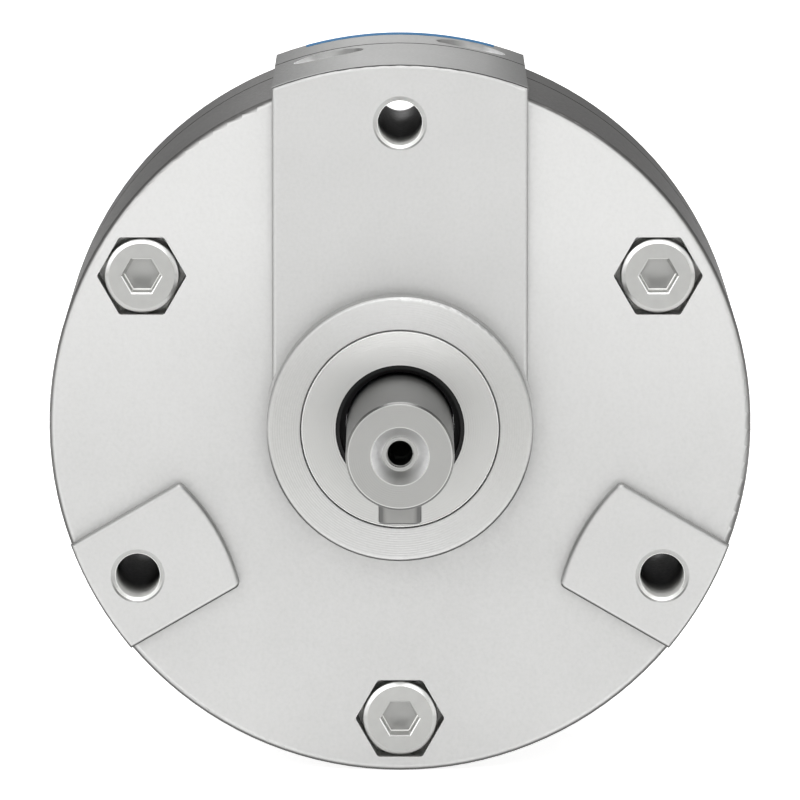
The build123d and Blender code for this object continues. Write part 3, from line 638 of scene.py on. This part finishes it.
# Drive shaft: steel, ground to a dark satin round its length and turned brighter on the tip.
# It runs in both bearings, and its centre hole takes an M3 screw. The vane, the stator and the
# housings are pinned with ground steel pins.
SHAFT_RADIUS = 5.0
TIP_DEPTH = -22.8
CENTRE_MOUTH = 2.65
ground, tree, shader, place = start_material("ground_steel", "#a2a2a0", 1.0, 0.34)
cloud = add_node(tree, "ShaderNodeTexNoise", {"Scale": 1 / (2 * MM), "Detail": 3.0}, {"Vector": place})
seat = add_node(tree, "ShaderNodeMix",
                {"data_type": "RGBA", 6: linear("#555554"), 7: linear("#5d5d5c")}, {0: cloud}, 2)
face = faces_shaft(tree, 0.35, 0.8)
fan = beside_shaft(tree, place)
# The tip face is a touch darker beside the shaft: painted sheen
tip = add_node(tree, "ShaderNodeMix", {"data_type": "RGBA", 6: linear("#969694"), 7: linear("#949492")},
               {0: fan}, 2)
depth = add_node(tree, "ShaderNodeSeparateXYZ", links={"Vector": place}, out="Y")
# Near the seal the seat is painted darker: painted shade next to the seal
by_seal = add_node(tree, "ShaderNodeMapRange", {"From Min": -8.2 * MM, "From Max": -7.0 * MM}, {"Value": depth})
seat = add_node(tree, "ShaderNodeMix", {"data_type": "RGBA", 7: linear("#434342")}, {0: by_seal, 6: seat}, 2)
colour = add_node(tree, "ShaderNodeMix", {"data_type": "RGBA"}, {0: face, 6: seat, 7: tip}, 2)
# The centre hole's cone is turned, and painted lighter above the shaft, brightest beside it as a painted
# highlight, and darker where it lies flat
near_tip = add_node(tree, "ShaderNodeMapRange",
                    {"From Min": (TIP_DEPTH + 1.9) * MM, "From Max": (TIP_DEPTH + 1.7) * MM},
                    {"Value": depth})
centre_cone = add_node(tree, "ShaderNodeMath", {"operation": "MULTIPLY"},
                       {0: round_zone(tree, place, 0, 0, CENTRE_MOUTH - 0.01), 1: near_tip})
cone_painted_light = add_node(tree, "ShaderNodeMix",
                       {"data_type": "RGBA", 6: linear("#989896"), 7: linear("#cccccb")},
                       {0: over_shaft(tree, place)}, 2)
cone_painted_light = add_node(tree, "ShaderNodeMix", {"data_type": "RGBA", 7: linear("#ffffff")},
                       {0: fan, 6: cone_painted_light}, 2)
cone_painted_light = add_node(tree, "ShaderNodeMix", {"data_type": "RGBA", 7: linear("#8a8a88")},
                       {0: faces_shaft(tree, 0.7, 0.9), 6: cone_painted_light}, 2)
# Fine painted highlights run round the mouth of the centre hole and round the tip
mouth_line = add_node(tree, "ShaderNodeMath", {"operation": "MULTIPLY"},
                      {0: round_zone(tree, place, 0, 0, CENTRE_MOUTH + 0.06), 1: near_tip})
outer_line = add_node(tree, "ShaderNodeMapRange", {"To Min": 1.0, "To Max": 0.0},
                      {"Value": round_zone(tree, place, 0, 0, SHAFT_RADIUS - 0.28)})
outer_line = add_node(tree, "ShaderNodeMath", {"operation": "MULTIPLY"}, {0: outer_line, 1: face})
lines = add_node(tree, "ShaderNodeMath", {"operation": "MAXIMUM"}, {0: mouth_line, 1: outer_line})
colour = add_node(tree, "ShaderNodeMix", {"data_type": "RGBA", 7: linear("#b8b8b6")}, {0: lines, 6: colour}, 2)
colour = add_node(tree, "ShaderNodeMix", {"data_type": "RGBA"}, {0: centre_cone, 6: colour, 7: cone_painted_light}, 2)
# Next to the seal and on the rough cut of the cone some of the mirror shine is taken away
matt = add_node(tree, "ShaderNodeMath", {"operation": "MULTIPLY", 1: 0.3}, {0: centre_cone})
matt = add_node(tree, "ShaderNodeMath", {"operation": "MAXIMUM"}, {0: by_seal, 1: matt})
tree.links.new(add_node(tree, "ShaderNodeMapRange", {"To Min": 1.0, "To Max": 0.1}, {"Value": matt}),
               shader.inputs["Metallic"])
# The small bevel round the tip is painted darker than its face, most at the top and below: painted shade
on_bevel = add_node(tree, "ShaderNodeMapRange",
                    {"From Min": (TIP_DEPTH + 0.22) * MM, "From Max": (TIP_DEPTH + 0.18) * MM},
                    {"Value": depth})
past_face = add_node(tree, "ShaderNodeMapRange", {"To Min": 1.0, "To Max": 0.0},
                     {"Value": round_zone(tree, place, 0, 0, SHAFT_RADIUS - 0.21)})
on_bevel = add_node(tree, "ShaderNodeMath", {"operation": "MULTIPLY"}, {0: on_bevel, 1: past_face})
bevel_painted_shade = add_node(tree, "ShaderNodeMix",
                        {"data_type": "RGBA", 6: linear("#5c5c5b"), 7: linear("#7e7e7c")},
                        {0: faces_up(tree, -0.5, 0.0)}, 2)
bevel_painted_shade = add_node(tree, "ShaderNodeMix", {"data_type": "RGBA", 7: linear("#666665")},
                        {0: faces_up(tree, 0.5, 0.66), 6: bevel_painted_shade}, 2)
colour = add_node(tree, "ShaderNodeMix", {"data_type": "RGBA"}, {0: on_bevel, 6: colour, 7: bevel_painted_shade}, 2)
tree.links.new(colour, shader.inputs["Base Color"])
# Turning marks on the tip: 0.1 mm feed, drawn every 0.2 mm
marks = add_node(tree, "ShaderNodeTexWave",
                 {"wave_type": "RINGS", "rings_direction": "Y", "Scale": math.pi / (10 * 0.2 * MM),
                  "Distortion": 0.4, "Detail": 2.0}, {"Vector": place}, "Fac")
marks = add_node(tree, "ShaderNodeMath", {"operation": "MULTIPLY"}, {0: face, 1: marks})
relief = add_node(tree, "ShaderNodeBump", {"Strength": 1.0, "Distance": 0.005 * MM}, {"Height": marks})
# Grinding lines run round the shaft, so they are narrow along it
squeezed = add_node(tree, "ShaderNodeMapping", {"Scale": (1.0, 12.0, 1.0)}, {"Vector": place})
ground_lines = add_node(tree, "ShaderNodeTexNoise", {"Scale": 1 / (1.2 * MM), "Detail": 3.0},
                        {"Vector": squeezed})
relief = add_node(tree, "ShaderNodeBump", {"Strength": 0.6, "Distance": 0.004 * MM},
                  {"Height": ground_lines, "Normal": relief})
tree.links.new(relief, shader.inputs["Normal"])
dress(ground, "drive_shaft", "vane_pins", "stator_pins", "locating_pins")

centre_thread = wind_thread("centre_thread", 1.26, 1.08, 0.5, -20.5, 13)
centre_thread.data.materials.append(ground)
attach(centre_thread, "rotor")


# Feather key: bright drawn steel with round corners, pressed into its seat in the shaft.
# Its end is cut to a satin grey, and its sides are painted darker: painted shade.
key_steel, tree, shader, place = start_material("bright_key_steel", "#92928f", 1.0, 0.36)
cloud = add_node(tree, "ShaderNodeTexNoise", {"Scale": 1 / (1.5 * MM), "Detail": 3.0}, {"Vector": place})
drawn = add_node(tree, "ShaderNodeMix",
                 {"data_type": "RGBA", 6: linear("#80807e"), 7: linear("#8a8a88")}, {0: cloud}, 2)
# The sides are painted darker than the end: painted shade
colour = add_node(tree, "ShaderNodeMix", {"data_type": "RGBA", 6: linear("#5e5e5d")},
                  {0: faces_shaft(tree, 0.75, 0.97), 7: drawn}, 2)
tree.links.new(colour, shader.inputs["Base Color"])
grain = add_node(tree, "ShaderNodeTexNoise", {"Scale": 1 / (0.25 * MM), "Detail": 3.0}, {"Vector": place})
relief = add_node(tree, "ShaderNodeBump", {"Strength": 0.6, "Distance": 0.004 * MM}, {"Height": grain})
tree.links.new(relief, shader.inputs["Normal"])
dress(key_steel, "feather_key")


# Bearings: hardened steel races and balls, ground and polished to a mirror.
# The outer races are seated in the housings and the inner races on the shaft.
bearing, tree, shader, place = start_material("polished_bearing_steel", "#b8b8b8", 1.0, 0.12)
cloud = add_node(tree, "ShaderNodeTexNoise", {"Scale": 1 / (0.5 * MM), "Detail": 3.0}, {"Vector": place})
tree.links.new(add_node(tree, "ShaderNodeMapRange",
                        {"From Min": 0.3, "From Max": 0.7, "To Min": 0.1, "To Max": 0.16}, {"Value": cloud}),
               shader.inputs["Roughness"])
marks = add_node(tree, "ShaderNodeTexWave",
                 {"wave_type": "RINGS", "rings_direction": "Y", "Scale": math.pi / (10 * 0.15 * MM),
                  "Distortion": 0.4, "Detail": 2.0}, {"Vector": place}, "Fac")
relief = add_node(tree, "ShaderNodeBump", {"Strength": 0.3, "Distance": 0.001 * MM}, {"Height": marks})
tree.links.new(relief, shader.inputs["Normal"])
dress(bearing, "front_bearing_outer_race", "rear_bearing_outer_race", "front_bearing_inner_race",
      "rear_bearing_inner_race", "front_bearing_balls", "rear_bearing_balls")


# Ball cages: black nylon, moulded in one with a pocket for each ball, matt from the mould.
# They ride on the balls between the races.
cage, tree, shader, place = start_material("moulded_cage_nylon", "#1c1c1c", 0.0, 0.5)
grain = add_node(tree, "ShaderNodeTexNoise", {"Scale": 1 / (0.2 * MM), "Detail": 3.0}, {"Vector": place})
relief = add_node(tree, "ShaderNodeBump", {"Strength": 0.5, "Distance": 0.006 * MM}, {"Height": grain})
tree.links.new(relief, shader.inputs["Normal"])
dress(cage, "front_bearing_cage", "rear_bearing_cage")


# Rubber parts: black nitrile rubber, moulded with a soft satin skin.
# The shaft seals are pressed in, the ring between the housings lies in a groove, and the two
# cushions are pushed into the stator.
rubber, tree, shader, place = start_material("nitrile_rubber", "#0e0e0e", 0.0, 0.55)
shader.inputs["Specular IOR Level"].default_value = 0.3
cloud = add_node(tree, "ShaderNodeTexNoise", {"Scale": 1 / (0.8 * MM), "Detail": 3.0}, {"Vector": place})
colour = add_node(tree, "ShaderNodeMix",
                  {"data_type": "RGBA", 6: linear("#0a0a0a"), 7: linear("#121212")}, {0: cloud}, 2)
tree.links.new(colour, shader.inputs["Base Color"])
grain = add_node(tree, "ShaderNodeTexNoise", {"Scale": 1 / (0.12 * MM), "Detail": 3.0}, {"Vector": place})
relief = add_node(tree, "ShaderNodeBump", {"Strength": 0.5, "Distance": 0.006 * MM}, {"Height": grain})
tree.links.new(relief, shader.inputs["Normal"])
dress(rubber, "front_shaft_seal", "rear_shaft_seal", "housing_seal", "end_cushions")


# Sliding seals: blue-grey polyurethane, moulded smooth because the hub and the vane run on them.
# They lie in grooves of the housings, the stator and the vane.
slide, tree, shader, place = start_material("moulded_polyurethane", "#2a3850", 0.0, 0.4)
cloud = add_node(tree, "ShaderNodeTexNoise", {"Scale": 1 / (1.0 * MM), "Detail": 3.0}, {"Vector": place})
colour = add_node(tree, "ShaderNodeMix",
                  {"data_type": "RGBA", 6: linear("#26334a"), 7: linear("#2d3c56")}, {0: cloud}, 2)
tree.links.new(colour, shader.inputs["Base Color"])
grain = add_node(tree, "ShaderNodeTexNoise", {"Scale": 1 / (0.2 * MM), "Detail": 3.0}, {"Vector": place})
relief = add_node(tree, "ShaderNodeBump", {"Strength": 0.5, "Distance": 0.004 * MM}, {"Height": grain})
tree.links.new(relief, shader.inputs["Normal"])
dress(slide, "front_hub_seal", "rear_hub_seal", "stator_seal", "vane_seal")


# Blue stripe: a plain band of screen-printed ink across the top of the block, at its rear edge.
# It is a skin 0.03 mm thick that follows the round top.
STRIPE_HALF_WIDTH = 9.1
STRIPE_FRONT = 33.9
STRIPE_BACK = 36.35
BLOCK_RADIUS = 34.0
stripe = round_bar("blue_stripe", BLOCK_RADIUS, STRIPE_FRONT, STRIPE_BACK, 360)
bpy.ops.object.mode_set(mode="EDIT")
for point, normal in (((STRIPE_HALF_WIDTH * MM, 0, 0), (1, 0, 0)),
                      ((-STRIPE_HALF_WIDTH * MM, 0, 0), (-1, 0, 0)),
                      ((0, 0, 30 * MM), (0, 0, -1))):
    bpy.ops.mesh.select_all(action="SELECT")
    bpy.ops.mesh.bisect(plane_co=point, plane_no=normal, clear_outer=True)
open_faces(stripe, lambda polygon: abs(polygon.normal.y) > 0.5)
bpy.ops.mesh.delete(type="FACE")
bpy.ops.object.mode_set(mode="OBJECT")
film = stripe.modifiers.new("film", "SOLIDIFY")
film.thickness = 0.03 * MM
film.offset = 0.6
bpy.ops.object.modifier_apply(modifier="film")
bpy.ops.object.shade_smooth_by_angle(angle=math.radians(35))
ink, tree, shader, place = start_material("blue_screen_ink", "#14608f", 0.0, 0.6)
shader.inputs["Specular IOR Level"].default_value = 0.2
cloud = add_node(tree, "ShaderNodeTexNoise", {"Scale": 1 / (0.6 * MM), "Detail": 3.0}, {"Vector": place})
colour = add_node(tree, "ShaderNodeMix",
                  {"data_type": "RGBA", 6: linear("#12608e"), 7: linear("#196da0")}, {0: cloud}, 2)
tree.links.new(colour, shader.inputs["Base Color"])
grain = add_node(tree, "ShaderNodeTexNoise", {"Scale": 1 / (0.2 * MM), "Detail": 3.0}, {"Vector": place})
relief = add_node(tree, "ShaderNodeBump", {"Strength": 0.4, "Distance": 0.004 * MM}, {"Height": grain})
tree.links.new(relief, shader.inputs["Normal"])
stripe.data.materials.append(ink)
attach(stripe, "housing")
